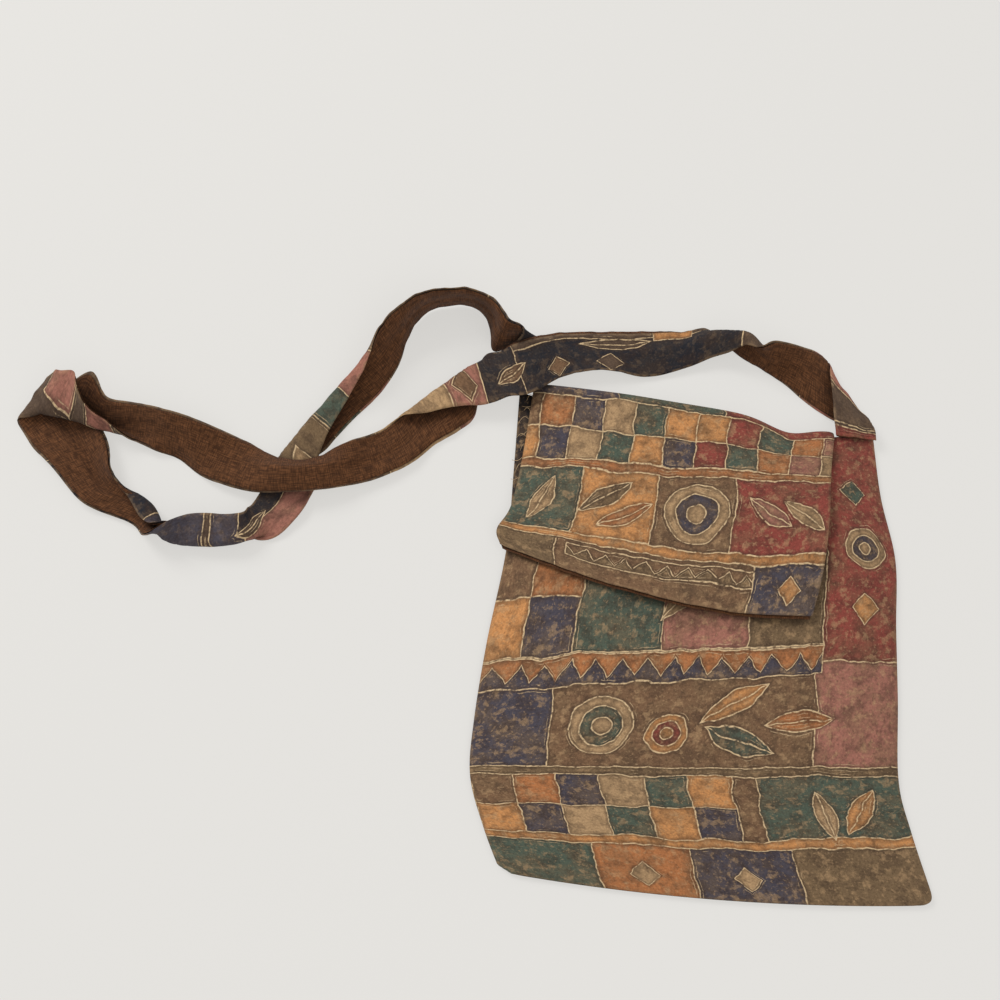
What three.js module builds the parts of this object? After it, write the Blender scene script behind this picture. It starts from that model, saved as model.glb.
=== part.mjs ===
// A soft fabric crossbody bag lying on its back, with its long strap folded and looped on the surface.
// Millimetres, +Z up. The origin is the middle of the back panel, on the surface that the bag lies on.
// +X runs across the bag to its right and +Y runs up the bag towards its mouth.

import * as THREE from "three";

// Driving sizes

const PANEL_THICKNESS = 1.5;
const FLAP_THICKNESS = 1.2;
const LINING_THICKNESS = 1.0;
const SEAM_GAP = 0.3;
const FLAP_CLEARANCE = 0.8;
const FLAP_FOLD_DEPTH = 3.5;
const FLAP_LINING_INSET = 0.008;
const FLAP_LINING_SHOWS = 1.6;
const DOME_POWER = 4;

const STRAP_WIDTH = 33;
const STRAP_THICKNESS = 1.0;
const STRAP_CREASE_RADIUS = 3.2;
const STRAP_REST_HEIGHT = 1.4;

const PANEL_CELLS = { across: 16, along: 18 };
const BACK_CELLS = { across: 12, along: 12 };
const FLAP_CELLS = { across: 14, drape: 9, fold: 5 };
const STRAP_CELLS = { across: 7, along: 104 };

// Crosswise lines of the pouch, from the mouth down to the bottom seam.
// bow: how far the middle of the line lies towards the bottom; rise: how far the front domes up there.
const BODY_COLUMNS = ["leftX", "leftY", "rightX", "rightY", "bow", "rise"];
const BODY_SECTIONS = [
  [-109, 170, 121, 140, 22, 9],
  [-113, 116, 121, 95, 1, 13],
  [-118, 60, 125, 52, 1, 16],
  [-130, 0, 120, 8, 1, 17],
  [-137.5, -48, 115.5, -36, 2, 16],
  [-139.5, -80, 110, -83, 3, 13],
  [-132, -108, 113.5, -112, 4, 9],
  [-122, -134, 122, -152, 6, 0],
];

// Dents and soft swells of the front, as places on the pouch from 0 to 1 across and down.
const DENT_COLUMNS = ["across", "down", "reachAcross", "reachDown", "height"];
const DENTS = [
  [0.95, 0.76, 0.12, 0.06, -2.5],
  [0.16, 0.9, 0.1, 0.08, -2],
  [0.62, 0.52, 0.3, 0.05, -1.2],
  [0.3, 0.66, 0.16, 0.08, 1.2],
  [0.72, 0.74, 0.16, 0.08, 1],
];

// Crosswise lines of the flap, from its fold at the mouth down to its hem.
const FLAP_COLUMNS = ["leftX", "leftY", "rightX", "rightY", "bow"];
const FLAP_SECTIONS = [
  [-100, 169, 93, 133, -1],
  [-107, 124, 87, 106, 2],
  [-115, 88, 81, 70, 7],
  [-124, 72, 73, 36, 12],
  [-122, 61, 64, 10, 14],
];

// Slack dip in the fold of the flap, near its right end, that fades out down the flap.
const FOLD_DIP = { x: 64, reach: 18, depth: 7.5, fade: 0.16 };

// Crosswise lines of the strap, from the seam at the right upper corner to the seam at the left one.
// x, y, z: the lengthwise crease, or the middle where it lies flat. heading: compass of the line, degrees
// from +X. leanA, leanB: how far the cloth on each side of the crease is turned up from that heading.
// crease: share of the line on side A. span: length of the line in strap widths, over 1 on a diagonal fold.
const STRAP_COLUMNS = ["x", "y", "z", "heading", "leanA", "leanB", "crease", "span"];
const STRAP_SECTIONS = [
  // Seam at the right corner, then a diagonal fold that brings the lining up
  [107.5, 133.5, 9, 178, 12, 12, 0.5, 0.85],
  [107.5, 145, 9.8, 160, 5, 5, 0.5, 0.84],
  [107, 155, 8.5, 136, 2, 2, 0.5, 0.95],
  [106.5, 165, 6.5, 119, 0, 0, 0.5, 1.26],
  [101, 168, 3.5, 100, 1, 1, 0.5, 1.35],
  [86.5, 179, 4.5, 76, 8, 8, 0.5, 1.13],
  [71.5, 187, 8.5, 67, 29, 29, 0.5, 0.82],
  // Turned over along its upper edge, so that the print comes up
  [56.5, 191, 13, 69, 67, 67, 0.5, 0.77],
  [42, 203.5, 22, 84, 205, 64, 0.28, 0.95],
  [30.5, 206, 19, 90, 222, 85, 0.42, 1],
  [19, 206.5, 14, 92, 212, 128, 0.45, 1],
  [5, 201, 9, 92, 203, 155, 0.47, 0.87],
  // Run above the bag, print up
  [-22, 198, 5.5, 90, 192, 184, 0.55, 0.93],
  [-53, 199, 5, 92, 168, 186, 0.56, 0.88],
  [-82, 195, 8.5, 101, 180, 180, 0.53, 0.94],
  [-107, 181, 16, 107, 180, 180, 0.52, 1.13],
  // Long diagonal fold along the upper edge, lining up again
  [-129, 191.5, 13.5, 107, 182, 140, 0.94, 1.05],
  [-137, 187.5, 11.5, 109, 184, 60, 0.72, 1.35],
  [-147, 181, 9.5, 111, 186, 12, 0.48, 1.75],
  [-160, 171.5, 8.5, 113, 184, 5, 0.37, 1.6],
  [-177, 157.5, 7, 115, 182, 2, 0.24, 1.22],
  [-195, 142, 6, 114, 90, 0, 0.04, 0.93],
  // Lining band, over the crossing and out to the left
  [-229, 111.5, 16, 101, -30, 30, 0.5, 0.9],
  [-257, 106.5, 20, 90, -45, 44, 0.5, 0.92],
  [-294, 118, 7, 68, 0, 0, 0.5, 1],
  [-333, 135, 12, 74, 44, 44, 0.5, 0.93],
  // Left end: the near edge rolls over, then the band folds under itself
  [-356.5, 137, 4, 80, 48, -40, 0.8, 0.87],
  [-371, 140, 5, 84, 46, -105, 0.66, 1],
  [-383, 143, 6.5, 70, 40, -110, 0.56, 1.17],
  [-396, 147, 7.5, 56, 34, -122, 0.54, 1.68],
  [-409, 149.5, 8, 53, 29, -142, 0.5, 2.2],
  [-421, 150.2, 8.5, 55, 14, -150, 0.3, 1.5],
  [-428, 149.7, 8, 56, -60, -158, 0, 1.02],
  [-437.5, 147.5, 6, 54, -168, -168, 0, 1],
  [-434, 141.5, 2.5, 45, -180, -180, 0, 1.15],
  [-427, 133, 2, 32, -182, -178, 0.02, 1.35],
  // Lower band, lining up, closing into a fold with the print outside
  [-395, 125.5, 2.5, 26, -188, -180, 0.48, 1.2],
  [-380.5, 106.5, 2.5, 39, -188, -158, 0.5, 1.05],
  [-363, 107, 5.5, 41, -178, -85, 0.94, 0.95],
  [-352, 98.5, 8, 42, -167, -12, 0.75, 1.05],
  [-339.5, 84, 8, 46, -168, -15, 0.58, 0.92],
  [-332, 67.5, 4, 74, -285, -115, 0.6, 0.95],
  [-303, 61, 9, 92, -356, -245, 0.6, 1],
  [-282, 65, 9, 94, -352, -250, 0.5, 1],
  // Turn upward and pass under the lining band
  [-269, 79.5, 5.5, 148, -358, -345, 0.5, 0.84],
  [-261.5, 90, 3.5, 168, -360, -362, 0.5, 0.96],
  [-257, 101, 3.2, 174, -360, -360, 0.5, 0.98],
  // Fold along the left edge that rolls the lining up
  [-271, 110, 4, 166, -450, -360, 0, 1],
  [-264.5, 121.5, 5, 154, -532, -358, 0.28, 1.2],
  [-252.5, 138.5, 5, 142, -534, -357, 0.5, 1.28],
  [-243, 151, 5.5, 138, -533, -356, 0.57, 1.15],
  [-230, 167.5, 7, 137, -530, -354, 0.65, 1.04],
  [-212, 187, 17, 140, -500, -385, 0.78, 1],
  [-201.5, 203.5, 24, 140, -484, -430, 0.9, 1],
  // Arch standing on its edge
  [-191, 216, 30, 130, -466, -466, 1, 1],
  [-174.5, 226.5, 34, 112, -446, -446, 1, 1],
  [-157, 229.5, 34, 93, -437, -437, 1, 1],
  [-139.5, 229, 34, 72, -440, -440, 1, 1],
  [-125, 221, 33.5, 45, -457, -457, 1, 1],
  [-115.5, 208, 30, 40, -470, -470, 1, 1],
  // Turned print up, under the run, to the seam at the left corner
  [-108.5, 208.5, 24.5, 0, -428, -428, 1, 1],
  [-105.5, 205, 14, -6, -394, -394, 0.9, 1],
  [-106, 193, 5, 0, -362, -362, 0.5, 0.85],
  [-109, 183, 6, -6, -395, -325, 0.5, 0.7],
  [-109.5, 171.4, 8, -8, -405, -315, 0.5, 0.6],
];

// Cloth colours

const PRINT_COLOR = 0x7d6248;
const LINING_COLOR = 0x5d3d26;
const BACK_COLOR = 0x6f5a45;

// Tables

function rowsOf(columns, table) {
  return table.map((values) => Object.fromEntries(columns.map((name, i) => [name, values[i]])));
}

// Smooth reading of a table: positions are where its rows fall along the run, from 0 to 1.
function smoothTable(columns, table, positions) {
  const spline = new THREE.CubicInterpolant(positions, table.flat(), columns.length);
  return (t) => {
    const values = spline.evaluate(THREE.MathUtils.clamp(t, 0, 1));
    return Object.fromEntries(columns.map((name, i) => [name, values[i]]));
  };
}

function evenPositions(table) {
  return table.map((_, i) => i / (table.length - 1));
}

// Closed sheets

// A sheet of cloth between two faces, each a function of (i, j) on the same grid of cells, closed round
// its rim. The outer face is on the side that the grid's first direction turns away from its second.
function sheetGeometry(cellsI, cellsJ, outer, inner) {
  const points = [];
  for (const face of [outer, inner]) {
    for (let j = 0; j <= cellsJ; j++) {
      for (let i = 0; i <= cellsI; i++) points.push(face(i, j));
    }
  }
  const side = (cellsI + 1) * (cellsJ + 1);
  const at = (i, j, face) => face * side + j * (cellsI + 1) + i;
  const index = [];
  const quad = (a, b, c, d) => index.push(a, b, c, a, c, d);
  for (let j = 0; j < cellsJ; j++) {
    for (let i = 0; i < cellsI; i++) {
      quad(at(i, j, 0), at(i + 1, j, 0), at(i + 1, j + 1, 0), at(i, j + 1, 0));
      quad(at(i, j, 1), at(i, j + 1, 1), at(i + 1, j + 1, 1), at(i + 1, j, 1));
    }
  }
  for (let i = 0; i < cellsI; i++) {
    quad(at(i, 0, 0), at(i, 0, 1), at(i + 1, 0, 1), at(i + 1, 0, 0));
    quad(at(i, cellsJ, 0), at(i + 1, cellsJ, 0), at(i + 1, cellsJ, 1), at(i, cellsJ, 1));
  }
  for (let j = 0; j < cellsJ; j++) {
    quad(at(0, j, 0), at(0, j + 1, 0), at(0, j + 1, 1), at(0, j, 1));
    quad(at(cellsI, j, 0), at(cellsI, j, 1), at(cellsI, j + 1, 1), at(cellsI, j + 1, 0));
  }
  const geometry = new THREE.BufferGeometry().setFromPoints(points);
  geometry.setIndex(index);
  geometry.computeVertexNormals();
  return geometry;
}

function piece(name, geometry, color) {
  const material = new THREE.MeshStandardMaterial({ color, roughness: 0.9, metalness: 0 });
  const mesh = new THREE.Mesh(geometry, material);
  mesh.name = name;
  return mesh;
}

// Pouch

const bodyAt = smoothTable(BODY_COLUMNS, BODY_SECTIONS, evenPositions(BODY_SECTIONS));
const dents = rowsOf(DENT_COLUMNS, DENTS);

// Plan point on a crosswise line, bowed towards the bottom in its middle.
function planOnLine(line, across) {
  const bow = line.bow * (1 - (2 * across - 1) ** 2);
  return new THREE.Vector2(
    THREE.MathUtils.lerp(line.leftX, line.rightX, across),
    THREE.MathUtils.lerp(line.leftY, line.rightY, across) - bow,
  );
}

function domeHeight(across, down) {
  const inside = THREE.MathUtils.clamp(across, 0, 1);
  const swell = 1 - Math.abs(2 * inside - 1) ** DOME_POWER;
  const rise = Math.max(bodyAt(down).rise, 0);
  let height = rise * swell;
  for (const dent of dents) {
    const offAcross = (inside - dent.across) / dent.reachAcross;
    const offDown = (down - dent.down) / dent.reachDown;
    height += dent.height * Math.exp(-offAcross * offAcross - offDown * offDown) * swell;
  }
  return Math.max(height, 0);
}

const FRONT_UNDERSIDE = PANEL_THICKNESS + SEAM_GAP;
const FRONT_TOP = FRONT_UNDERSIDE + PANEL_THICKNESS;

function panelFace(cells, height) {
  return (i, j) => {
    const across = i / cells.across;
    const down = 1 - j / cells.along;
    const plan = planOnLine(bodyAt(down), across);
    return new THREE.Vector3(plan.x, plan.y, height(across, down));
  };
}

function backPanel() {
  const outer = panelFace(BACK_CELLS, () => PANEL_THICKNESS);
  const inner = panelFace(BACK_CELLS, () => 0);
  return sheetGeometry(BACK_CELLS.across, BACK_CELLS.along, outer, inner);
}

function frontPanel() {
  const outer = panelFace(PANEL_CELLS, (across, down) => FRONT_TOP + domeHeight(across, down));
  const inner = panelFace(PANEL_CELLS, (across, down) => FRONT_UNDERSIDE + domeHeight(across, down));
  return sheetGeometry(PANEL_CELLS.across, PANEL_CELLS.along, outer, inner);
}

// Height of the front's upper face over a plan point, found by halving down the pouch.
function frontHeightAt(point) {
  let low = 0;
  let high = 1;
  let across = 0.5;
  for (let step = 0; step < 24; step++) {
    const down = (low + high) / 2;
    const line = bodyAt(down);
    across = (point.x - line.leftX) / (line.rightX - line.leftX);
    if (planOnLine(line, across).y > point.y) low = down;
    else high = down;
  }
  return FRONT_TOP + domeHeight(across, (low + high) / 2);
}

// Flap and its lining

const flapAt = smoothTable(FLAP_COLUMNS, FLAP_SECTIONS, evenPositions(FLAP_SECTIONS));
const FLAP_STACK = LINING_THICKNESS + SEAM_GAP + FLAP_THICKNESS;

// Plan point of the flap, from its fold at drape 0 to its hem at drape 1.
function flapPlan(drape, across) {
  const plan = planOnLine(flapAt(drape), across);
  const off = (plan.x - FOLD_DIP.x) / FOLD_DIP.reach;
  plan.y -= FOLD_DIP.depth * Math.exp(-off * off - (drape / FOLD_DIP.fade) ** 2);
  return plan;
}

// Face of the flap at a depth measured out from the lining's inner face. Its rows start at the back's top
// edge, pass round the fold over the mouth and run down the front to the hem.
function flapFace(depth, inset, hemExtra) {
  const rowsBeforeDrape = FLAP_CELLS.fold + 1;
  return (i, j) => {
    const across = THREE.MathUtils.lerp(inset, 1 - inset, i / FLAP_CELLS.across);
    const fold = flapPlan(0, across);
    const top = frontHeightAt(fold) + FLAP_CLEARANCE;
    const bottom = FLAP_STACK;
    if (j === 0) {
      const line = bodyAt(0);
      const share = (fold.x - line.leftX) / (line.rightX - line.leftX);
      const root = planOnLine(line, share);
      return new THREE.Vector3(root.x, root.y + SEAM_GAP, bottom - depth);
    }
    if (j < rowsBeforeDrape) {
      const angle = Math.PI * (1 - (j - 1) / FLAP_CELLS.fold);
      const out = (FLAP_FOLD_DEPTH + depth) * Math.sin(angle);
      const up = ((top - bottom) / 2 + depth) * Math.cos(angle);
      return new THREE.Vector3(fold.x, fold.y + out, (top + bottom) / 2 + up);
    }
    const drape = (j - rowsBeforeDrape + 1) / FLAP_CELLS.drape;
    const plan = flapPlan(drape, across);
    plan.y -= hemExtra * drape;
    return new THREE.Vector3(plan.x, plan.y, frontHeightAt(plan) + FLAP_CLEARANCE + depth);
  };
}

function flapLayer(from, to, inset, hemExtra) {
  const rows = FLAP_CELLS.fold + FLAP_CELLS.drape + 1;
  const outer = flapFace(to, inset, hemExtra);
  const inner = flapFace(from, inset, hemExtra);
  return sheetGeometry(FLAP_CELLS.across, rows, inner, outer);
}

// Strap

const strapRows = rowsOf(STRAP_COLUMNS, STRAP_SECTIONS);

function strapPositions() {
  const lengths = [0];
  for (let i = 1; i < strapRows.length; i++) {
    const [a, b] = [strapRows[i - 1], strapRows[i]];
    lengths.push(lengths[i - 1] + Math.hypot(b.x - a.x, b.y - a.y, b.z - a.z));
  }
  return lengths.map((length) => length / lengths.at(-1));
}

const strapAt = smoothTable(STRAP_COLUMNS, STRAP_SECTIONS, strapPositions());

// Middle of the cloth at a place along the strap and a share of its width from side B to side A.
// The cloth turns from one side's lean to the other's round the crease, with a soft radius.
function strapMiddle(along, share) {
  const row = strapAt(along);
  const span = row.span * STRAP_WIDTH;
  const crease = THREE.MathUtils.clamp(row.crease, 0, 1);
  const reach = (share - (1 - crease)) * span;
  const leanA = THREE.MathUtils.degToRad(row.leanA);
  const leanB = THREE.MathUtils.degToRad(row.leanB);
  const arc = Math.max(2, STRAP_CREASE_RADIUS * Math.abs(leanA - leanB));
  const steps = 12;
  let [out, up] = [0, 0];
  for (let k = 0; k < steps; k++) {
    const place = ((k + 0.5) / steps) * reach;
    const lean = THREE.MathUtils.lerp(leanB, leanA, THREE.MathUtils.clamp(place / arc + 0.5, 0, 1));
    out += (Math.cos(lean) * reach) / steps;
    up += (Math.sin(lean) * reach) / steps;
  }
  const heading = THREE.MathUtils.degToRad(row.heading);
  return new THREE.Vector3(
    row.x + out * Math.cos(heading),
    row.y + out * Math.sin(heading),
    Math.max(row.z + up, STRAP_REST_HEIGHT),
  );
}

function strapNormal(along, share) {
  const [stepAlong, stepShare] = [0.002, 0.02];
  const ahead = strapMiddle(Math.min(along + stepAlong, 1), share);
  const behind = strapMiddle(Math.max(along - stepAlong, 0), share);
  const sideA = strapMiddle(along, Math.min(share + stepShare, 1));
  const sideB = strapMiddle(along, Math.max(share - stepShare, 0));
  return ahead.sub(behind).cross(sideA.sub(sideB)).normalize();
}

function strapFace(offset) {
  return (i, j) => {
    const along = i / STRAP_CELLS.along;
    const share = j / STRAP_CELLS.across;
    return strapMiddle(along, share).addScaledVector(strapNormal(along, share), offset);
  };
}

function strapLayer(low, high) {
  return sheetGeometry(STRAP_CELLS.along, STRAP_CELLS.across, strapFace(high), strapFace(low));
}

// Assembly

const bag = new THREE.Group();
bag.name = "fabric_crossbody_bag";
bag.add(piece("back_panel", backPanel(), BACK_COLOR));
bag.add(piece("front_panel", frontPanel(), PRINT_COLOR));
bag.add(piece("flap", flapLayer(LINING_THICKNESS + SEAM_GAP, FLAP_STACK, 0, 0), PRINT_COLOR));
const flapLining = flapLayer(0, LINING_THICKNESS, FLAP_LINING_INSET, FLAP_LINING_SHOWS);
bag.add(piece("flap_lining", flapLining, LINING_COLOR));
bag.add(piece("strap", strapLayer(SEAM_GAP / 2, SEAM_GAP / 2 + STRAP_THICKNESS), PRINT_COLOR));
bag.add(piece("strap_lining", strapLayer(-SEAM_GAP / 2 - STRAP_THICKNESS, -SEAM_GAP / 2), LINING_COLOR));

export default bag;
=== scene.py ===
"""A soft fabric crossbody bag lying on its back, with its strap looped on the surface beside it."""

import math

import bpy
import numpy as np
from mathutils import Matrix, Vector


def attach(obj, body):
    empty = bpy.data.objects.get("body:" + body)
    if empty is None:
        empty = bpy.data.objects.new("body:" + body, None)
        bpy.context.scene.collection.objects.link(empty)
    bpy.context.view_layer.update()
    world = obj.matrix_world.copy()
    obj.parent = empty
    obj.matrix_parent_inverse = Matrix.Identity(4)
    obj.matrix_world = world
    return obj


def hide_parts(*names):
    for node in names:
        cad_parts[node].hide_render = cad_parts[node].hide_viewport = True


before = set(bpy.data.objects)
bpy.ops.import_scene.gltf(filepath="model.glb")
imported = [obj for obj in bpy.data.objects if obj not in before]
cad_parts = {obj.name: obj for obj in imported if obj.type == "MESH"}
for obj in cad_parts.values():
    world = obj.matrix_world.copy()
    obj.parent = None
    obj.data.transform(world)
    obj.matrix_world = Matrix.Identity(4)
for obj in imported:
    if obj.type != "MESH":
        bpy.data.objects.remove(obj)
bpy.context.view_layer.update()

MM = 0.001

# Camera

CAMERA_ELEVATION = math.radians(68)
CAMERA_DISTANCE = 0.760
CAMERA_TARGET = Vector((-0.122, 0.094, 0.0))
CAMERA_LENS = 42.75
CAMERA_SENSOR = 36.0


def add_camera():
    data = bpy.data.cameras.new("camera")
    data.lens = CAMERA_LENS
    data.sensor_width = CAMERA_SENSOR
    camera = bpy.data.objects.new("camera", data)
    back = Vector((0, -math.cos(CAMERA_ELEVATION), math.sin(CAMERA_ELEVATION)))
    camera.location = CAMERA_TARGET + CAMERA_DISTANCE * back
    camera.rotation_euler = (math.pi / 2 - CAMERA_ELEVATION, 0, 0)
    bpy.context.collection.objects.link(camera)
    bpy.context.scene.camera = camera


add_camera()

# Sizes, in millimetres; insets and the rim are shares of a piece's width

SEAM_GAP = 0.3

POUCH_WIDTH = 250.0
POUCH_HEIGHT = 310.0
PANEL_THICKNESS = 1.5
FRONT_UNDERSIDE = PANEL_THICKNESS + SEAM_GAP
FRONT_TOP = FRONT_UNDERSIDE + PANEL_THICKNESS
DOME_POWER = 4
CORNER_REACH = 9.0
CORNER_DRAW = 2.2
SIDE_PUCKER = {"height": 0.55, "pitch": 5.2, "reach": 14, "seed": 1}
SAG_HEIGHT = 0.35
HALVINGS = 24

FLAP_WIDTH = 195.0
FLAP_LENGTH = 160.0
FLAP_THICKNESS = 1.2
LINING_THICKNESS = 1.0
FLAP_STACK = LINING_THICKNESS + SEAM_GAP + FLAP_THICKNESS
FLAP_CLEARANCE = 0.8
FLAP_FOLD_DEPTH = 3.5
FLAP_LINING_INSET = 0.008
FLAP_LINING_SHOWS = 1.6
HEM_LIFT = {"height": 2.4, "power": 6}
SIDE_LIFT = {"height": 2.4, "power": 10}

STRAP_WIDTH = 33.0
STRAP_LENGTH = 1090.0
STRAP_THICKNESS = 1.0
STRAP_FOLD_RADIUS = 3.2
STRAP_LEAST_ARC = 2
STRAP_ARC_STEPS = 24
STRAP_REST_HEIGHT = 1.4
STRAP_LINING_INSET = 0.035
STRAP_RIM = 0.07
RIM_RUN = {"middle": 190, "reach": 85}
STRAP_EVENNESS = 2
SLACK_RUN = {"middle": 660, "reach": 50}
SLACK_EVENNESS = 9
SLACK_CURL = {"side_a": 2.0, "side_b": 6.0}
STRAP_PUCKER = {"height": 0.3, "pitch": 2.6, "reach": 5, "seed": 7}
STRAP_WAVE = {"height": 0.25, "pitch": 6.5, "skew": 3, "seed": 11}
STRAP_CREASES = {"height": 0.5, "slack_height": 0.7, "count": 10, "seed": 13}
CREASE_DRIFT = {"pitch": 40, "seed": 3}

PANEL_CELLS = (110, 130)
BACK_CELLS = (40, 40)
FLAP_CELLS = {"across": 90, "drape": 56, "fold": 14}
STRAP_CELLS = (760, 20)
RIM_SHARE = 0.3
UV_LAYER = "cloth"

# Waves that add up to a ripple: height, pace, turn for each seed, start
RIPPLE_WAVES = (
    (1.0, 1.0, 1.7, 0.0),
    (0.6, 1.63, 2.9, 1.0),
    (0.4, 2.71, 4.3, 2.0),
)
RIPPLE_REACH = 1.6

# Crosswise lines of the pouch, from the mouth down to the bottom seam
BODY_COLUMNS = ("left_x", "left_y", "right_x", "right_y", "bow", "rise")
BODY_SECTIONS = (
    (-109, 170, 121, 140, 22, 9),
    (-113, 116, 121, 95, 1, 13),
    (-118, 60, 125, 52, 1, 16),
    (-130, 0, 120, 8, 1, 17),
    (-137.5, -48, 115.5, -36, 2, 16),
    (-139.5, -80, 110, -83, 3, 13),
    (-132, -108, 113.5, -112, 4, 9),
    (-122, -134, 122, -152, 6, 0),
)

# Dents and soft swells of the front, as places on the pouch from 0 to 1 across and down
DENT_COLUMNS = ("across", "down", "reach_across", "reach_down", "height")
DENTS = (
    (0.95, 0.76, 0.12, 0.06, -2.5),
    (0.16, 0.9, 0.1, 0.08, -2),
    (0.62, 0.52, 0.3, 0.05, -1.2),
    (0.3, 0.66, 0.16, 0.08, 1.2),
    (0.72, 0.74, 0.16, 0.08, 1),
)

# Soft wrinkles of the front; heading turns from across to down
WRINKLE_COLUMNS = ("across", "down", "heading", "reach_along", "reach_aside", "height")
WRINKLES = (
    (0.93, 0.72, 66, 24, 4, -1.4),
    (0.86, 0.91, 98, 20, 3.2, -1),
    (0.12, 0.85, -38, 22, 4, -1.3),
    (0.3, 0.57, 14, 30, 5, 0.9),
    (0.66, 0.63, -12, 38, 5, 0.8),
    (0.47, 0.8, 30, 26, 5, -0.7),
    (0.93, 0.3, 84, 30, 4, -1),
)

# Long soft waves of the front: pace across, pace down, seed
SAG_WAVES = ((7, 9, 3), (11, -13, 5))

# Waves along the flap's hem: share of its lift, pace, seed
HEM_WAVES = ((0.4, 9, 2), (0.3, 30, 4))

# Crosswise lines of the flap, from its fold at the mouth down to its hem
FLAP_COLUMNS = ("left_x", "left_y", "right_x", "right_y", "bow")
FLAP_SECTIONS = (
    (-100, 169, 93, 133, -1),
    (-107, 124, 87, 106, 2),
    (-115, 88, 81, 70, 7),
    (-124, 72, 73, 36, 12),
    (-122, 61, 64, 10, 14),
)
FOLD_DIP = {"x": 64, "reach": 18, "depth": 7.5, "fade": 0.16}

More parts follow.
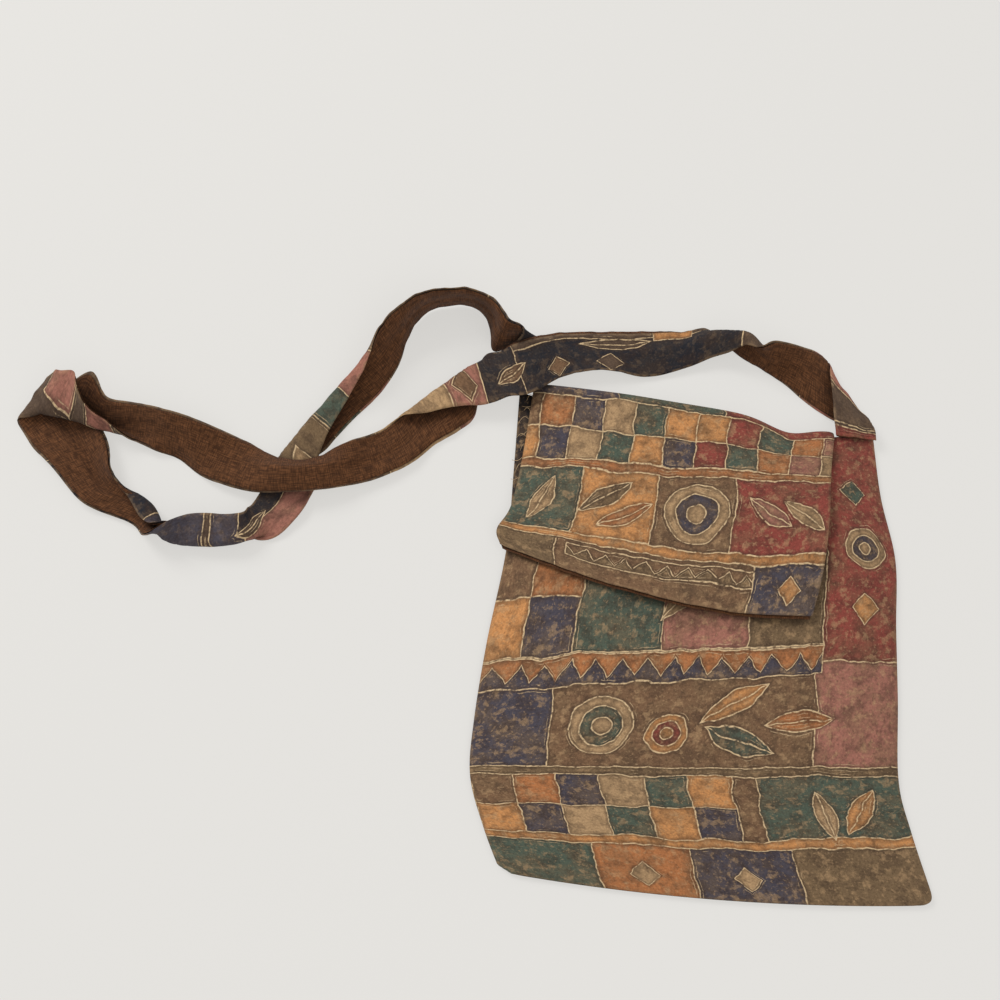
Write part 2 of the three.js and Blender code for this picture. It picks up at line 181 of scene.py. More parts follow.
# Crosswise lines of the strap, from the seam at the right upper corner to the one at the left.
# Each has a crease at a share of the width, with its own lean on side A and on side B of it.
STRAP_COLUMNS = ("x", "y", "z", "heading", "lean_a", "lean_b", "crease", "span")
STRAP_SECTIONS = (
    # Seam at the right corner, then a diagonal fold that brings the lining up
    (107.5, 133.5, 9, 178, 12, 12, 0.5, 0.85),
    (107.5, 145, 9.8, 160, 5, 5, 0.5, 0.84),
    (107, 155, 8.5, 136, 2, 2, 0.5, 0.95),
    (106.5, 165, 6.5, 119, 0, 0, 0.5, 1.26),
    (101, 168, 3.5, 100, 1, 1, 0.5, 1.35),
    (86.5, 179, 4.5, 76, 8, 8, 0.5, 1.13),
    (71.5, 187, 8.5, 67, 29, 29, 0.5, 0.82),
    # Turned over along its upper edge, so that the print comes up
    (56.5, 191, 13, 69, 67, 67, 0.5, 0.77),
    (42, 203.5, 22, 84, 205, 64, 0.28, 0.95),
    (30.5, 206, 19, 90, 222, 85, 0.42, 1),
    (19, 206.5, 14, 92, 212, 128, 0.45, 1),
    (5, 201, 9, 92, 203, 155, 0.47, 0.87),
    # Run above the bag, print up
    (-22, 198, 5.5, 90, 192, 184, 0.55, 0.93),
    (-53, 199, 5, 92, 168, 186, 0.56, 0.88),
    (-82, 195, 8.5, 101, 180, 180, 0.53, 0.94),
    (-107, 181, 16, 107, 180, 180, 0.52, 1.13),
    # Long diagonal fold along the upper edge, lining up again
    (-129, 191.5, 13.5, 107, 182, 140, 0.94, 1.05),
    (-137, 187.5, 11.5, 109, 184, 60, 0.72, 1.35),
    (-147, 181, 9.5, 111, 186, 12, 0.48, 1.75),
    (-160, 171.5, 8.5, 113, 184, 5, 0.37, 1.6),
    (-177, 157.5, 7, 115, 182, 2, 0.24, 1.22),
    (-195, 142, 6, 114, 90, 0, 0.04, 0.93),
    # Lining band, over the crossing and out to the left
    (-229, 111.5, 16, 101, -30, 30, 0.5, 0.9),
    (-257, 106.5, 20, 90, -45, 44, 0.5, 0.92),
    (-294, 118, 7, 68, 0, 0, 0.5, 1),
    (-333, 135, 12, 74, 44, 44, 0.5, 0.93),
    # Left end: the near edge rolls over, then the band folds under itself
    (-356.5, 137, 4, 80, 48, -40, 0.8, 0.87),
    (-371, 140, 5, 84, 46, -105, 0.66, 1),
    (-383, 143, 6.5, 70, 40, -110, 0.56, 1.17),
    (-396, 147, 7.5, 56, 34, -122, 0.54, 1.68),
    (-409, 149.5, 8, 53, 29, -142, 0.5, 2.2),
    (-421, 150.2, 8.5, 55, 14, -150, 0.3, 1.5),
    (-428, 149.7, 8, 56, -60, -158, 0, 1.02),
    (-437.5, 147.5, 6, 54, -168, -168, 0, 1),
    (-434, 141.5, 2.5, 45, -180, -180, 0, 1.15),
    (-427, 133, 2, 32, -182, -178, 0.02, 1.35),
    # Lower band, lining up, closing into a fold with the print outside
    (-395, 125.5, 2.5, 26, -188, -180, 0.48, 1.2),
    (-380.5, 106.5, 2.5, 39, -188, -158, 0.5, 1.05),
    (-363, 107, 5.5, 41, -178, -85, 0.94, 0.95),
    (-352, 98.5, 8, 42, -167, -12, 0.75, 1.05),
    (-339.5, 84, 8, 46, -168, -15, 0.58, 0.92),
    (-332, 67.5, 4, 74, -285, -115, 0.6, 0.95),
    (-303, 61, 9, 92, -356, -245, 0.6, 1),
    (-282, 65, 9, 94, -352, -250, 0.5, 1),
    # Turn upward and pass under the lining band
    (-269, 79.5, 5.5, 148, -358, -345, 0.5, 0.84),
    (-261.5, 90, 3.5, 168, -360, -362, 0.5, 0.96),
    (-257, 101, 3.2, 174, -360, -360, 0.5, 0.98),
    # Fold along the left edge that rolls the lining up
    (-271, 110, 4, 166, -450, -360, 0, 1),
    (-264.5, 121.5, 5, 154, -532, -358, 0.28, 1.2),
    (-252.5, 138.5, 5, 142, -534, -357, 0.5, 1.28),
    (-243, 151, 5.5, 138, -533, -356, 0.57, 1.15),
    (-230, 167.5, 7, 137, -530, -354, 0.65, 1.04),
    (-212, 187, 17, 140, -500, -385, 0.78, 1),
    (-201.5, 203.5, 24, 140, -484, -430, 0.9, 1),
    # Arch standing on its edge
    (-191, 216, 30, 130, -466, -466, 1, 1),
    (-174.5, 226.5, 34, 112, -446, -446, 1, 1),
    (-157, 229.5, 34, 93, -437, -437, 1, 1),
    (-139.5, 229, 34, 72, -440, -440, 1, 1),
    (-125, 221, 33.5, 45, -457, -457, 1, 1),
    (-115.5, 208, 30, 40, -470, -470, 1, 1),
    # Turned print up, under the run, to the seam at the left corner
    (-108.5, 208.5, 24.5, 0, -428, -428, 1, 1),
    (-105.5, 205, 14, -6, -394, -394, 0.9, 1),
    (-106, 193, 5, 0, -362, -362, 0.5, 0.85),
    (-109, 183, 6, -6, -395, -325, 0.5, 0.7),
    (-109.5, 171.4, 8, -8, -405, -315, 0.5, 0.6),
)

# Tables


def smooth(columns, table, positions, at):
    """Columns of a table at places along its run from 0 to 1, with even slopes through its rows."""
    table = np.array(table, float)
    at = np.clip(at, 0, 1)
    steps = np.diff(positions)[:, None]
    slopes = np.diff(table, axis=0) / steps
    tangents = np.vstack([slopes[:1], (slopes[:-1] + slopes[1:]) / 2, slopes[-1:]])
    row = np.clip(np.searchsorted(positions, at, side="right") - 1, 0, len(table) - 2)
    step = steps[row]
    p = (at - positions[row])[..., None] / step
    start = (2 * p**3 - 3 * p**2 + 1) * table[row] + (p**3 - 2 * p**2 + p) * step * tangents[row]
    end = (3 * p**2 - 2 * p**3) * table[row + 1] + (p**3 - p**2) * step * tangents[row + 1]
    return dict(zip(columns, np.moveaxis(start + end, -1, 0)))


def named(columns, table):
    """A table's rows, each with its columns by name."""
    return [dict(zip(columns, row)) for row in table]


def even_positions(table):
    return np.linspace(0, 1, len(table))


def ripple(place, seed):
    """An uneven wave of height about 1, for puckers and waves of cloth."""
    waves = (
        height * np.sin(pace * place + turn * seed + start)
        for height, pace, turn, start in RIPPLE_WAVES
    )
    return sum(waves) / RIPPLE_REACH


# Pieces


def smooth_piece(name, points, faces):
    """A smooth piece from points in millimetres, with a layer for places on its cut cloth."""
    mesh = bpy.data.meshes.new(name)
    mesh.from_pydata((points * MM).tolist(), [], faces)
    mesh.uv_layers.new(name=UV_LAYER)
    mesh.shade_smooth()
    piece = bpy.data.objects.new(name, mesh)
    bpy.context.collection.objects.link(piece)
    return piece


def closed_sheet(name, outer, inner, flat):
    """A closed piece of cloth between two grids of points, in millimetres. Flat is each point's
    place on the cut cloth, and becomes the UV in metres. The rim is drawn in to look rounded."""
    rows, columns = outer.shape[:2]
    rim = np.zeros((rows, columns), bool)
    rim[[0, -1], :] = True
    rim[:, [0, -1]] = True
    middle = (outer + inner) / 2
    outer = np.where(rim[..., None], middle + (outer - middle) * RIM_SHARE, outer)
    inner = np.where(rim[..., None], middle + (inner - middle) * RIM_SHARE, inner)
    points = np.concatenate([outer.reshape(-1, 3), inner.reshape(-1, 3)])
    top, under = np.arange(2 * rows * columns).reshape(2, rows, columns)

    def quads(a, b, c, d):
        return np.stack([a.ravel(), b.ravel(), c.ravel(), d.ravel()], axis=1)

    faces = np.concatenate([
        quads(top[:-1, :-1], top[:-1, 1:], top[1:, 1:], top[1:, :-1]),
        quads(under[:-1, :-1], under[1:, :-1], under[1:, 1:], under[:-1, 1:]),
        quads(top[0, :-1], under[0, :-1], under[0, 1:], top[0, 1:]),
        quads(top[-1, :-1], top[-1, 1:], under[-1, 1:], under[-1, :-1]),
        quads(top[:-1, 0], top[1:, 0], under[1:, 0], under[:-1, 0]),
        quads(top[:-1, -1], under[:-1, -1], under[1:, -1], top[1:, -1]),
    ])
    piece = smooth_piece(name, points, faces.tolist())
    places = np.concatenate([flat.reshape(-1, 2)] * 2) * MM
    uvs = places[faces.ravel()].astype(np.float32).ravel()
    piece.data.uv_layers[UV_LAYER].data.foreach_set("uv", uvs)
    return piece


# Pouch


def body_line(down):
    return smooth(BODY_COLUMNS, BODY_SECTIONS, even_positions(BODY_SECTIONS), down)


def plan_on_line(line, across):
    bow = line["bow"] * (1 - (2 * across - 1) ** 2)
    x = line["left_x"] + (line["right_x"] - line["left_x"]) * across
    y = line["left_y"] + (line["right_y"] - line["left_y"]) * across - bow
    return x, y


def dome_height(across, down):
    """Height of the front over its flat seams, with dents, wrinkles, sags and side puckers."""
    inside = np.clip(across, 0, 1)
    swell = 1 - np.abs(2 * inside - 1) ** DOME_POWER
    height = np.maximum(body_line(down)["rise"], 0) * swell
    for dent in named(DENT_COLUMNS, DENTS):
        off_across = (inside - dent["across"]) / dent["reach_across"]
        off_down = (down - dent["down"]) / dent["reach_down"]
        height = height + dent["height"] * np.exp(-(off_across**2) - off_down**2) * swell
    for wrinkle in named(WRINKLE_COLUMNS, WRINKLES):
        right = (inside - wrinkle["across"]) * POUCH_WIDTH
        under = (down - wrinkle["down"]) * POUCH_HEIGHT
        heading = math.radians(wrinkle["heading"])
        c, s = math.cos(heading), math.sin(heading)
        along = (right * c + under * s) / wrinkle["reach_along"]
        aside = (under * c - right * s) / wrinkle["reach_aside"]
        height = height + wrinkle["height"] * np.exp(-(along**2) - aside**2) * swell
    sag = sum(ripple(inside * right + down * under, seed) for right, under, seed in SAG_WAVES)
    from_side = POUCH_WIDTH * np.minimum(inside, 1 - inside)
    turn = down * POUCH_HEIGHT / SIDE_PUCKER["pitch"]
    pucker = ripple(turn, SIDE_PUCKER["seed"] + (inside > 0.5))
    pucker = pucker * np.exp(-from_side / SIDE_PUCKER["reach"])
    relief = SIDE_PUCKER["height"] * pucker + SAG_HEIGHT * sag
    return np.maximum(height + relief * np.minimum(swell * 2, 1), 0)


def panel_grid(cells, height):
    """One face of a pouch panel, its lower corners drawn in so that they look rounded."""
    across, down = np.meshgrid(np.linspace(0, 1, cells[0] + 1), np.linspace(1, 0, cells[1] + 1))
    x, y = plan_on_line(body_line(down), across)
    from_corner = POUCH_WIDTH * np.minimum(across, 1 - across) + POUCH_HEIGHT * (1 - down)
    draw = CORNER_DRAW * np.clip(1 - from_corner / CORNER_REACH, 0, 1) ** 2
    return np.stack([x + draw * np.sign(0.5 - across), y + draw, height(across, down)], axis=-1)


def panel_flat(cells):
    across, up = np.meshgrid(np.linspace(0, 1, cells[0] + 1), np.linspace(0, 1, cells[1] + 1))
    return np.stack([across * POUCH_WIDTH, up * POUCH_HEIGHT], axis=-1)


def back_panel():
    outer = panel_grid(BACK_CELLS, lambda across, down: np.full_like(across, PANEL_THICKNESS))
    inner = panel_grid(BACK_CELLS, lambda across, down: np.zeros_like(across))
    return closed_sheet("back", outer, inner, panel_flat(BACK_CELLS))


def front_panel():
    outer = panel_grid(PANEL_CELLS, lambda across, down: FRONT_TOP + dome_height(across, down))
    inner = panel_grid(
        PANEL_CELLS, lambda across, down: FRONT_UNDERSIDE + dome_height(across, down)
    )
    return closed_sheet("front", outer, inner, panel_flat(PANEL_CELLS))


def front_height_at(x, y):
    """Height of the front's upper face over plan points, found by halving down the pouch."""
    low = np.zeros_like(x)
    high = np.ones_like(x)
    for _ in range(HALVINGS):
        down = (low + high) / 2
        line = body_line(down)
        across = (x - line["left_x"]) / (line["right_x"] - line["left_x"])
        above = plan_on_line(line, across)[1] > y
        low = np.where(above, down, low)
        high = np.where(above, high, down)
    return FRONT_TOP + dome_height(across, (low + high) / 2)


# Flap and its lining


def flap_plan(drape, across):
    line = smooth(FLAP_COLUMNS, FLAP_SECTIONS, even_positions(FLAP_SECTIONS), drape)
    x, y = plan_on_line(line, across)
    off = (x - FOLD_DIP["x"]) / FOLD_DIP["reach"]
    return x, y - FOLD_DIP["depth"] * np.exp(-(off**2) - (drape / FOLD_DIP["fade"]) ** 2)


def flap_grid(depth, inset, hem_extra):
    """One face of the flap, from the back's top edge round the fold over the mouth to the hem."""
    across = np.linspace(inset, 1 - inset, FLAP_CELLS["across"] + 1)
    waves = (share * ripple(across * pace, seed) for share, pace, seed in HEM_WAVES)
    hem_waves = sum(waves, start=1)
    fold_x, fold_y = flap_plan(np.zeros_like(across), across)
    top = front_height_at(fold_x, fold_y) + FLAP_CLEARANCE
    line = body_line(np.zeros_like(across))
    share = (fold_x - line["left_x"]) / (line["right_x"] - line["left_x"])
    root_x, root_y = plan_on_line(line, share)
    root_z = np.full_like(across, FLAP_STACK - depth)
    rows = [np.stack([root_x, root_y + SEAM_GAP, root_z], axis=-1)]
    for angle in np.linspace(math.pi, 0, FLAP_CELLS["fold"] + 1)[:-1]:
        out = (FLAP_FOLD_DEPTH + depth) * math.sin(angle)
        up = ((top - FLAP_STACK) / 2 + depth) * math.cos(angle)
        rows.append(np.stack([fold_x, fold_y + out, (top + FLAP_STACK) / 2 + up], axis=-1))
    for drape in np.linspace(0, 1, FLAP_CELLS["drape"] + 1):
        x, y = flap_plan(np.full_like(across, drape), across)
        y = y - hem_extra * drape
        hem_lift = HEM_LIFT["height"] * drape ** HEM_LIFT["power"] * hem_waves
        bulge = math.sin(math.pi * drape) ** 2
        lift = hem_lift + SIDE_LIFT["height"] * across ** SIDE_LIFT["power"] * bulge
        z = front_height_at(x, y) + FLAP_CLEARANCE + depth + lift
        rows.append(np.stack([x, y, z], axis=-1))
    return np.array(rows)


def flap_layer(name, low, high, inset, hem_extra):
    """One layer of the flap, between two heights over the front."""
    outer = flap_grid(high, inset, hem_extra)
    inner = flap_grid(low, inset, hem_extra)
    steps = np.linalg.norm(np.diff(outer, axis=0), axis=-1).mean(axis=1)
    down = np.concatenate([[0], np.cumsum(steps)])
    across = np.linspace(0, 1, FLAP_CELLS["across"] + 1) * FLAP_WIDTH
    flat = np.stack(np.meshgrid(across, down.max() - down), axis=-1)
    return closed_sheet(name, inner, outer, flat)


# Strap


def strap_positions():
    places = np.array(STRAP_SECTIONS)[:, :3]
    lengths = np.concatenate([[0], np.cumsum(np.linalg.norm(np.diff(places, axis=0), axis=1))])
    return lengths / lengths[-1]


def strap_middle(along, share):
    """Middle of the cloth at places along the strap and shares of its width from side B to A."""
    row = smooth(STRAP_COLUMNS, STRAP_SECTIONS, strap_positions(), along)
    crease = np.clip(row["crease"], 0, 1)
    reach = (share - (1 - crease)) * row["span"] * STRAP_WIDTH
    lean_a, lean_b = np.radians(row["lean_a"]), np.radians(row["lean_b"])
    arc = np.maximum(STRAP_LEAST_ARC, STRAP_FOLD_RADIUS * np.abs(lean_a - lean_b))
    out = np.zeros_like(reach)
    up = np.zeros_like(reach)
    for k in range(STRAP_ARC_STEPS):
        place = (k + 0.5) / STRAP_ARC_STEPS * reach
        lean = lean_b + (lean_a - lean_b) * np.clip(place / arc + 0.5, 0, 1)
        out += np.cos(lean) * reach / STRAP_ARC_STEPS
        up += np.sin(lean) * reach / STRAP_ARC_STEPS
    heading = np.radians(row["heading"])
    x = row["x"] + out * np.cos(heading)
    y = row["y"] + out * np.sin(heading)
    return np.stack([x, y, np.maximum(row["z"] + up, STRAP_REST_HEIGHT)], axis=-1)


def evened(points, reach):
    """A strap's grid of points, each averaged with those within a few cells along the strap."""
    cells = np.arange(-2 * reach, 2 * reach + 1)
    weights = np.exp(-((cells / reach) ** 2))
    margins = ((0, 0), (2 * reach, 2 * reach), (0, 0))
    padded = np.pad(points, margins, mode="reflect", reflect_type="odd")
    count = points.shape[1]
    return sum(w * padded[:, k : k + count] for k, w in enumerate(weights)) / weights.sum()


def within(along, run):
    """1 inside a run of the strap given in millimetres, falling to 0 past its ends."""
    return np.exp(-(((along * STRAP_LENGTH - run["middle"]) / run["reach"]) ** 4))


def strap_relief(along, share, slackness):
    """Puckers along the strap's edges, waves and creases, less the curl of its slack run."""
    length = along * STRAP_LENGTH
    from_edge = STRAP_WIDTH * np.minimum(share, 1 - share)
    pucker = ripple(length / STRAP_PUCKER["pitch"], STRAP_PUCKER["seed"] + (share > 0.5))
    pucker = STRAP_PUCKER["height"] * pucker * np.exp(-from_edge / STRAP_PUCKER["reach"])
    turn = length / STRAP_WAVE["pitch"] + share * STRAP_WAVE["skew"]
    wave = STRAP_WAVE["height"] * ripple(turn, STRAP_WAVE["seed"])
    drift = ripple(length / CREASE_DRIFT["pitch"], CREASE_DRIFT["seed"])
    depth = STRAP_CREASES["height"] + STRAP_CREASES["slack_height"] * slackness
    creases = depth * ripple(share * STRAP_CREASES["count"] + drift, STRAP_CREASES["seed"])
    rise = np.where(share < 0.5, SLACK_CURL["side_b"], SLACK_CURL["side_a"])
    curl = rise * slackness * (2 * share - 1) ** 2
    return pucker + wave + creases - curl


def strap_layer(name, low, high, inset, rim):
    """One layer of the strap; rim is how far its side B stands out along the run above the bag."""
    along, across = np.meshgrid(*(np.linspace(0, 1, cells + 1) for cells in STRAP_CELLS))
    near = inset - (inset + rim) * within(along, RIM_RUN)
    share = near + (1 - inset - near) * across
    middle = strap_middle(along, share)
    slackness = within(along, SLACK_RUN)
    even, slack = evened(middle, STRAP_EVENNESS), evened(middle, SLACK_EVENNESS)
    middle = even + (slack - even) * slackness[..., None]
    normal = np.cross(np.gradient(middle, axis=1), np.gradient(middle, axis=0))
    normal /= np.maximum(np.linalg.norm(normal, axis=-1, keepdims=True), 1e-9)
    middle = middle + normal * strap_relief(along, share, slackness)[..., None]
    middle[..., 2] = np.maximum(middle[..., 2], STRAP_REST_HEIGHT)
    flat = np.stack([share * STRAP_WIDTH, along * STRAP_LENGTH], axis=-1)
    return closed_sheet(name, middle + normal * high, middle + normal * low, flat)


# Threads

THREAD_SIDES = 5
STITCH_RADIUS = 0.35
STITCH_SHARE = 0.085
STITCH_PLACES = np.linspace(0.06, 0.9, 8)
STITCH_FROM_END = 2.4
STITCH_ARCH = np.array([-1, 1, 1.3, 1, -1])
LOOSE_RADIUS = 0.16
LOOSE_POINTS = 9
LOOSE_INSIDE = 1
LOOSE_HEIGHT_INSIDE = 2.0
LOOSE_ARCH = 1.5
LOOSE_END_HEIGHT = 4

# Loose threads at the flap's left edge, each from a place down it; curl bows a thread in plan
LOOSE_COLUMNS = ("drape", "out", "drop", "curl")
LOOSE_THREADS = (
    (0.03, 5, 2, 3),
    (0.06, 7, -1, -2),
    (0.09, 5, -3, 2),
    (0.12, 8, 1, 3),
    (0.15, 6, 4, -2),
    (0.19, 7, -2, 2),
    (0.22, 4, 3, 2),
    (0.26, 8, 2, -3),
    (0.3, 5, 5, 2),
    (0.35, 6, 1, -2),
)


def threads(name, paths, radius):
    """Thin closed threads along paths of points, in millimetres, as one piece."""
    turn = np.arange(THREAD_SIDES) * 2 * math.pi / THREAD_SIDES
    points, faces = [], []
    for path in paths:
        run = np.gradient(path, axis=0)
        side = np.cross(run, (0, 0, 1))
        side /= np.linalg.norm(side, axis=1, keepdims=True)
        up = np.cross(side, run) / np.linalg.norm(run, axis=1, keepdims=True)
        first = len(points)
        for spot, right, over in zip(path, side, up):
            ring = np.outer(np.cos(turn), right) + np.outer(np.sin(turn), over)
            points.extend(spot + radius * ring)
        start = [first + k for k in range(THREAD_SIDES)]
        for i in range(len(path) - 1):
            near = [k + i * THREAD_SIDES for k in start]
            for a, b in zip(near, near[1:] + near[:1]):
                faces.append((a, b, b + THREAD_SIDES, a + THREAD_SIDES))
        faces.append(tuple(reversed(start)))
        faces.append(tuple(k + (len(path) - 1) * THREAD_SIDES for k in start))
    return smooth_piece(name, np.array(points), faces)


def seam_stitches():
    """Stitches across the strap's end at the right corner, on its printed side."""
    paths = []
    for place in STITCH_PLACES:
        share = place + STITCH_SHARE * np.linspace(0, 1, len(STITCH_ARCH))
        path = strap_middle(np.full_like(share, STITCH_FROM_END / STRAP_LENGTH), share)
        path[:, 2] += SEAM_GAP / 2 + STRAP_THICKNESS + 0.5 * STITCH_RADIUS * STITCH_ARCH
        paths.append(path)
    return threads("seam_stitches", paths, STITCH_RADIUS)


def loose_threads():
    """Frayed threads that hang out from the flap's left edge."""
    paths = []
    t = np.linspace(0, 1, LOOSE_POINTS)
    arch = np.sin(math.pi * t)
    for thread in named(LOOSE_COLUMNS, LOOSE_THREADS):
        x, y = (float(part) for part in flap_plan(np.array(thread["drape"]), np.array(0.0)))
        front = front_height_at(np.array([x + LOOSE_HEIGHT_INSIDE]), np.array([y]))
        over = float(front[0]) + FLAP_CLEARANCE
        out = x + LOOSE_INSIDE - thread["out"] * t
        down = y - thread["drop"] * t + thread["curl"] * arch
        z = over + LOOSE_ARCH * arch - (over - LOOSE_END_HEIGHT) * t**2
        paths.append(np.stack([out, down, z], axis=-1))
    return threads("loose_threads", paths, LOOSE_RADIUS)


# Materials


def linear(red, green, blue):
    """A colour given from 0 to 255 as seen on a screen, as light (the sRGB curve)."""
    shares = (value / 255 for value in (red, green, blue))
    return (*(s / 12.92 if s <= 0.04045 else ((s + 0.055) / 1.055) ** 2.4 for s in shares), 1.0)


WHITE = (1, 1, 1, 1)
LINING_DARK = linear(62, 38, 22)
LINING_LIGHT = linear(114, 74, 46)
BACK_DARK = linear(62, 44, 30)
BACK_LIGHT = linear(104, 80, 56)

# Sizes on the cloth are in millimetres, and spans are where a noise rises from 0 to 1
# Painted shade: cloth colours darken towards FOLD_SHADE inside folds and seams, where ambient
# occlusion finds other surfaces within FOLD_REACH
FOLD_REACH = 16.0
FOLD_SHADE = (0.3, 0.27, 0.25, 1)
SPECULAR = 0.12
SHEEN_ROUGHNESS = 0.5
BUMP_DEPTH = 0.2
FUZZ = {"pitches": 2.2, "seed": 31, "height": 2.0}
CRINKLES = {"size": 9, "seed": 37, "height": 9.0}
WEFT = {"u_size": 6, "v_size": 0.6, "seed": 3, "detail": 2}
WARP = {"u_size": 0.6, "v_size": 7, "seed": 5, "detail": 2}
THREAD_SPAN = (0.14, 0.42)
SLUBS = (
    {"u_size": 26, "v_size": 0.7, "seed": 8, "detail": 1},
    {"u_size": 0.7, "v_size": 40, "seed": 12, "detail": 1},
)
SLUB_SPAN = (0.63, 0.71)
SLUB_STRENGTH = 0.7
SPUN_SCALE = 400.0


class Cloth:
    """One cloth material, from nodes that read a point's place on the cut cloth in millimetres."""

    def __init__(self, name):
        self.material = bpy.data.materials.new(name)
        self.material.use_nodes = True
        self.tree = self.material.node_tree
        self.shader = self.tree.nodes["Principled BSDF"]
        place = self.node("ShaderNodeUVMap")
        place.uv_map = UV_LAYER
        parts = self.node("ShaderNodeSeparateXYZ")
        self.link(place.outputs["UV"], parts.inputs[0])
        self.u = self.math("MULTIPLY", parts.outputs[0], 1 / MM)
        self.v = self.math("MULTIPLY", parts.outputs[1], 1 / MM)

    def node(self, kind):
        return self.tree.nodes.new(kind)

    def link(self, value, socket):
        """Joins a node's output to a socket, or sets a plain number or colour on it."""
        if isinstance(value, bpy.types.NodeSocket):
            self.tree.links.new(value, socket)
        else:
            socket.default_value = value

    def math(self, operation, *values):
        node = self.node("ShaderNodeMath")
        node.operation = operation
        for value, socket in zip(values, node.inputs):
            self.link(value, socket)
        return node.outputs[0]

    def mix(self, share, low, high, blend="MIX"):
        node = self.node("ShaderNodeMix")
        node.data_type = "RGBA"
        node.blend_type = blend
        self.link(share, node.inputs["Factor"])
        self.link(low, node.inputs["A"])
        self.link(high, node.inputs["B"])
        return node.outputs["Result"]

    def steps(self, value, low, high):
        """0 below low, 1 above high, smooth between them."""
        node = self.node("ShaderNodeMapRange")
        node.interpolation_type = "SMOOTHSTEP"
        self.link(value, node.inputs["Value"])
        node.inputs["From Min"].default_value = low
        node.inputs["From Max"].default_value = high
        return node.outputs["Result"]

    def place(self, u_size, v_size, seed):
        """The point's place in lengths of u_size and v_size, as a vector."""
        node = self.node("ShaderNodeCombineXYZ")
        self.link(self.math("DIVIDE", self.u, u_size), node.inputs[0])
        self.link(self.math("DIVIDE", self.v, v_size), node.inputs[1])
        node.inputs[2].default_value = seed
        return node.outputs[0]

    def noise(self, u_size, v_size, seed, detail=3.0, roughness=0.55):
        node = self.node("ShaderNodeTexNoise")
        self.link(self.place(u_size, v_size, seed), node.inputs["Vector"])
        node.inputs["Scale"].default_value = 1.0
        node.inputs["Detail"].default_value = detail
        node.inputs["Roughness"].default_value = roughness
        return node.outputs[0]

    def spots(self, size, seed, **kind):
        """Noise with lumps as long as they are wide."""
        return self.noise(size, size, seed, **kind)

    def weave(self, pitch, strength):
        """Fine crossing threads over soft crinkles as bump, for the shader's normal."""
        across, along = (
            self.math("SINE", self.math("MULTIPLY", part, 2 * math.pi / pitch))
            for part in (self.u, self.v)
        )
        threads = self.math("MULTIPLY", across, along)
        fuzz = self.spots(pitch * FUZZ["pitches"], FUZZ["seed"])
        crinkles = self.spots(CRINKLES["size"], CRINKLES["seed"], detail=2)
        crinkles = self.math("MULTIPLY", crinkles, CRINKLES["height"])
        rough = self.math("MULTIPLY_ADD", fuzz, FUZZ["height"], crinkles)
        bump = self.node("ShaderNodeBump")
        bump.inputs["Strength"].default_value = strength
        bump.inputs["Distance"].default_value = BUMP_DEPTH * MM
        self.link(self.math("ADD", threads, rough), bump.inputs["Height"])
        self.link(bump.outputs[0], self.shader.inputs["Normal"])

    def painted_fold_shade(self, color):
        """The colour, with painted shade that darkens it inside folds and seams, from ambient
        occlusion.
        """
        fold = self.node("ShaderNodeAmbientOcclusion")
        fold.inputs["Distance"].default_value = FOLD_REACH * MM
        shade = self.mix(fold.outputs["AO"], FOLD_SHADE, WHITE)
        return self.mix(1.0, color, shade, "MULTIPLY")

    def finish(self, color, roughness, sheen):
        # The base colour carries painted shade in folds and seams
        self.link(self.painted_fold_shade(color), self.shader.inputs["Base Color"])
        self.shader.inputs["Roughness"].default_value = roughness
        self.shader.inputs["Specular IOR Level"].default_value = SPECULAR
        self.shader.inputs["Sheen Weight"].default_value = sheen
        self.shader.inputs["Sheen Roughness"].default_value = SHEEN_ROUGHNESS
        return self.material


def slub_cloth(name, dark, light):
    """Plain woven cloth with uneven threads both ways and a few thick dark ones."""
    cloth = Cloth(name)
    threads = cloth.math("MULTIPLY", cloth.noise(**WEFT), cloth.noise(**WARP))
    color = cloth.mix(cloth.steps(threads, *THREAD_SPAN), dark, light)
    for slub in SLUBS:
        share = cloth.steps(cloth.noise(**slub), *SLUB_SPAN)
        color = cloth.mix(cloth.math("MULTIPLY", share, SLUB_STRENGTH), color, dark)
    cloth.weave(pitch=0.9, strength=0.5)
    return cloth.finish(color, roughness=0.9, sheen=0.04)


def thread_cloth(name, dark, light):
    """Spun thread, uneven along its length."""
    cloth = Cloth(name)
    coordinates = cloth.node("ShaderNodeTexCoord")
    spots = cloth.node("ShaderNodeTexNoise")
    spots.inputs["Scale"].default_value = SPUN_SCALE
    cloth.link(coordinates.outputs["Object"], spots.inputs["Vector"])
    color = cloth.mix(spots.outputs[0], dark, light)
    return cloth.finish(color, roughness=0.9, sheen=0.05)


# Printed cloth

INKS = {
    "taupe": linear(116, 88, 65),
    "olive": linear(112, 91, 67),
    "tan": linear(172, 140, 103),
    "ochre": linear(190, 133, 82),
    "rust": linear(168, 109, 68),
    "rose": linear(154, 103, 88),
    "brick": linear(134, 66, 57),
    "navy": linear(70, 66, 74),
    "green": linear(76, 86, 74),
    "slate": linear(37, 37, 42),
    "umber": linear(88, 71, 58),
}
RESIST = linear(206, 178, 138)
SHADE = linear(58, 44, 36)

# Squares of a check take their inks in turn, by steps across and up
CHECK_INKS = (
    "ochre", "navy", "tan", "green", "taupe", "ochre",
    "rose", "navy", "brick", "tan", "green", "rust",
)
CHECK_STEPS = (0.618, 0.37)
RING_SHARES = (1.0, 0.66, 0.3)
ZIGZAG_SHARE = 0.6
WOBBLE_SIZE = 24
WOBBLE_SEEDS = (1, 9)

